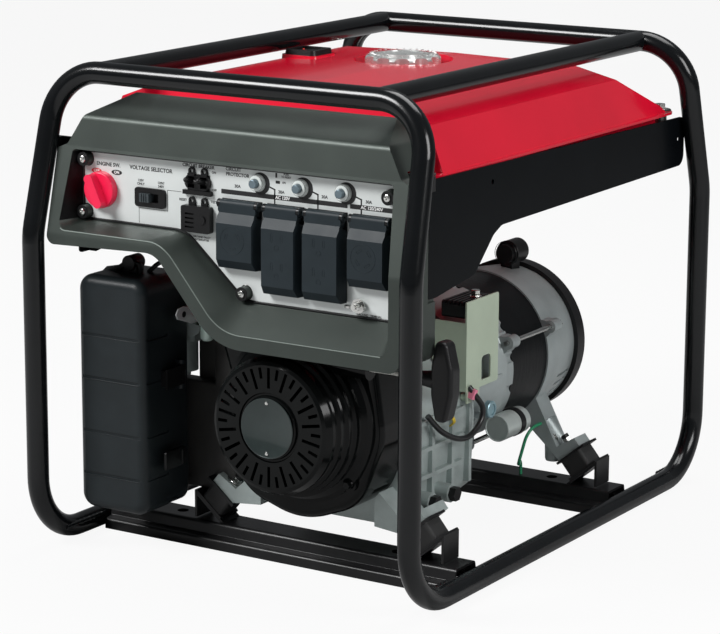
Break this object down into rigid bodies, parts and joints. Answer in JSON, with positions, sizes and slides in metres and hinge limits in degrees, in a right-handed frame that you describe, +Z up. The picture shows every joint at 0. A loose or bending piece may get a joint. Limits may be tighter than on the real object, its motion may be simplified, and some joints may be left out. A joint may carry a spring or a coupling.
{
  "type": "open-frame portable generator",
  "caption": "Open-frame portable generator with tubular cage, recoil starter, moulded control housing with sprung outlet lids, fuel tank and alternator.",
  "frame": {"origin": "on the floor under the middle of the cage", "axes": "+Z up, -Y towards the control panel, +X towards the starter grip"},
  "size_m": [0.5304, 0.7254, 0.574],
  "materials": {
    "cage_paint": "gloss",
    "frame_steel": "satin",
    "zinc_plate": "satin",
    "mount_rubber": "matte",
    "engine_casting": "satin",
    "black_casting": "satin",
    "tank_paint": "gloss",
    "housing_plastic": "matte",
    "housing_grey": "satin",
    "cover_paint": "gloss",
    "black_plastic": "satin",
    "plate_paint": "satin",
    "red_plastic": "gloss",
    "lid_plastic": "satin",
    "steel": "satin",
    "chrome_cap": "polished",
    "filter_paper": "matte",
    "rope": "matte",
    "rubber_hose": "matte",
    "wire_green": "satin"
  },
  "bodies": {
    "generator": {"cage_side_left": "cage_paint", "cage_side_right": "cage_paint", "cage_top": "cage_paint", "cross_members": "frame_steel", "mount_plates": "frame_steel", "mount_rubbers": "mount_rubber", "crankcase": "engine_casting", "cylinder_head": "engine_casting", "oil_plugs": "steel", "fan_housing": "black_casting", "recoil_cover": "black_casting", "alternator_front_housing": "engine_casting", "stator": "black_casting", "alternator_rear_housing": "engine_casting", "shaft_bearings": "steel", "alternator_end_cover": "black_plastic", "through_bolts": "zinc_plate", "lead_box": "black_plastic", "intake_manifold": "engine_casting", "carburettor": "engine_casting", "air_cleaner_case": "housing_plastic", "air_cleaner_cover": "housing_plastic", "air_filter_element": "filter_paper", "muffler": "black_casting", "fuel_tank": "tank_paint", "fuel_gauge": "black_plastic", "tank_mounts": "steel", "side_cover_left": "cover_paint", "side_cover_right": "cover_paint", "control_housing": "housing_grey", "control_plate": "plate_paint", "panel_fittings": "black_plastic", "ground_stud": "steel", "regulator_bracket": "zinc_plate", "regulator": "black_plastic", "fuel_hose": "rubber_hose", "earth_wire": "wire_green"},
    "recoil": {"recoil_grip": "black_plastic", "starter_rope": "rope"},
    "pulley": {"starter_pulley": "black_plastic"},
    "crank": {"crank_rotor": "steel", "flywheel_fan": "engine_casting"},
    "choke": {"choke_lever": "steel"},
    "fuel_valve": {"fuel_valve_lever": "black_plastic"},
    "latch_left": {"cleaner_latch_left": "steel"},
    "latch_right": {"cleaner_latch_right": "steel"},
    "cap": {"fuel_cap": "chrome_cap"},
    "needle": {"gauge_needle": "red_plastic"},
    "lid_1": {"outlet_lid_1": "lid_plastic"},
    "lid_2": {"outlet_lid_2": "lid_plastic"},
    "lid_3": {"outlet_lid_3": "lid_plastic"},
    "lid_4": {"outlet_lid_4": "lid_plastic"},
    "switch": {"engine_switch_knob": "red_plastic"},
    "selector": {"selector_slider": "black_plastic"},
    "breaker": {"breaker_toggle": "black_plastic"},
    "sensor_test": {"sensor_button": "black_plastic"},
    "reset_1": {"reset_button_1": "steel"},
    "reset_2": {"reset_button_2": "steel"},
    "reset_3": {"reset_button_3": "steel"},
    "wing": {"wing_nut": "steel"}
  },
  "joints": [
    {"name": "crank_spin", "type": "hinge", "parent": "generator", "child": "crank", "pos_m": [0.05, 0, 0.184], "axis": [0, 1, 0], "continuous": true},
    {"name": "starter_grip_pull", "type": "slide", "parent": "generator", "child": "recoil", "axis": [1, 0, 0], "range_m": [0, 0.085], "stiffness_N_per_m": 60},
    {"name": "starter_pulley_turn", "type": "hinge", "parent": "generator", "child": "pulley", "pos_m": [0.05, -0.268, 0.184], "axis": [0, 1, 0], "range_deg": [0, 70]},
    {"name": "choke_turn", "type": "hinge", "parent": "generator", "child": "choke", "pos_m": [-0.112, -0.203, 0.262], "axis": [1, 0, 0], "range_deg": [-30, 30]},
    {"name": "fuel_valve_turn", "type": "hinge", "parent": "generator", "child": "fuel_valve", "pos_m": [-0.128, -0.204, 0.292], "axis": [0, 0, 1], "range_deg": [0, 90]},
    {"name": "latch_left_swing", "type": "hinge", "parent": "generator", "child": "latch_left", "pos_m": [-0.226, -0.245, 0.208], "axis": [0, 0, 1], "range_deg": [-110, 0]},
    {"name": "latch_right_swing", "type": "hinge", "parent": "generator", "child": "latch_right", "pos_m": [-0.122, -0.245, 0.208], "axis": [0, 0, 1], "range_deg": [0, 110]},
    {"name": "fuel_cap_turn", "type": "hinge", "parent": "generator", "child": "cap", "pos_m": [-0.025, 0.086, 0.535], "axis": [0, 0, 1], "range_deg": [0, 90]},
    {"name": "gauge_needle_turn", "type": "hinge", "parent": "generator", "child": "needle", "pos_m": [-0.152, 0.06, 0.5505], "axis": [0, 0, 1], "range_deg": [-70, 0]},
    {"name": "outlet_lid_1_flip", "type": "hinge", "parent": "generator", "child": "lid_1", "pos_m": [0.01075, -0.317, 0.4315], "axis": [-1, 0, 0], "range_deg": [0, 90], "stiffness_Nm_per_rad": 0.02, "springref_deg": -20.05},
    {"name": "outlet_lid_2_flip", "type": "hinge", "parent": "generator", "child": "lid_2", "pos_m": [0.06825, -0.317, 0.4315], "axis": [-1, 0, 0], "range_deg": [0, 90], "stiffness_Nm_per_rad": 0.02, "springref_deg": -20.05},
    {"name": "outlet_lid_3_flip", "type": "hinge", "parent": "generator", "child": "lid_3", "pos_m": [0.12285, -0.317, 0.4315], "axis": [-1, 0, 0], "range_deg": [0, 90], "stiffness_Nm_per_rad": 0.02, "springref_deg": -20.05},
    {"name": "outlet_lid_4_flip", "type": "hinge", "parent": "generator", "child": "lid_4", "pos_m": [0.1806, -0.317, 0.4315], "axis": [-1, 0, 0], "range_deg": [0, 90], "stiffness_Nm_per_rad": 0.02, "springref_deg": -20.05},
    {"name": "engine_switch_turn", "type": "hinge", "parent": "generator", "child": "switch", "pos_m": [-0.182, -0.31, 0.429], "axis": [0, 1, 0], "range_deg": [0, 50]},
    {"name": "selector_slide", "type": "slide", "parent": "generator", "child": "selector", "axis": [1, 0, 0], "range_m": [0, 0.0105]},
    {"name": "breaker_toggle_throw", "type": "hinge", "parent": "generator", "child": "breaker", "pos_m": [-0.048, -0.311, 0.45], "axis": [1, 0, 0], "range_deg": [0, 36]},
    {"name": "sensor_test_press", "type": "slide", "parent": "generator", "child": "sensor_test", "axis": [0, 1, 0], "range_m": [0, 0.0015], "stiffness_N_per_m": 300},
    {"name": "reset_1_pop", "type": "slide", "parent": "generator", "child": "reset_1", "axis": [0, -1, 0], "range_m": [0, 0.003]},
    {"name": "reset_2_pop", "type": "slide", "parent": "generator", "child": "reset_2", "axis": [0, -1, 0], "range_m": [0, 0.003]},
    {"name": "reset_3_pop", "type": "slide", "parent": "generator", "child": "reset_3", "axis": [0, -1, 0], "range_m": [0, 0.003]},
    {"name": "wing_nut_turn", "type": "hinge", "parent": "generator", "child": "wing", "pos_m": [0.165, -0.32, 0.336], "axis": [0, 1, 0], "range_deg": [0, 180]}
  ],
  "couplings": [
    {"joint": "starter_pulley_turn", "follows": "starter_grip_pull", "rad_per_m": 14.286}
  ]
}
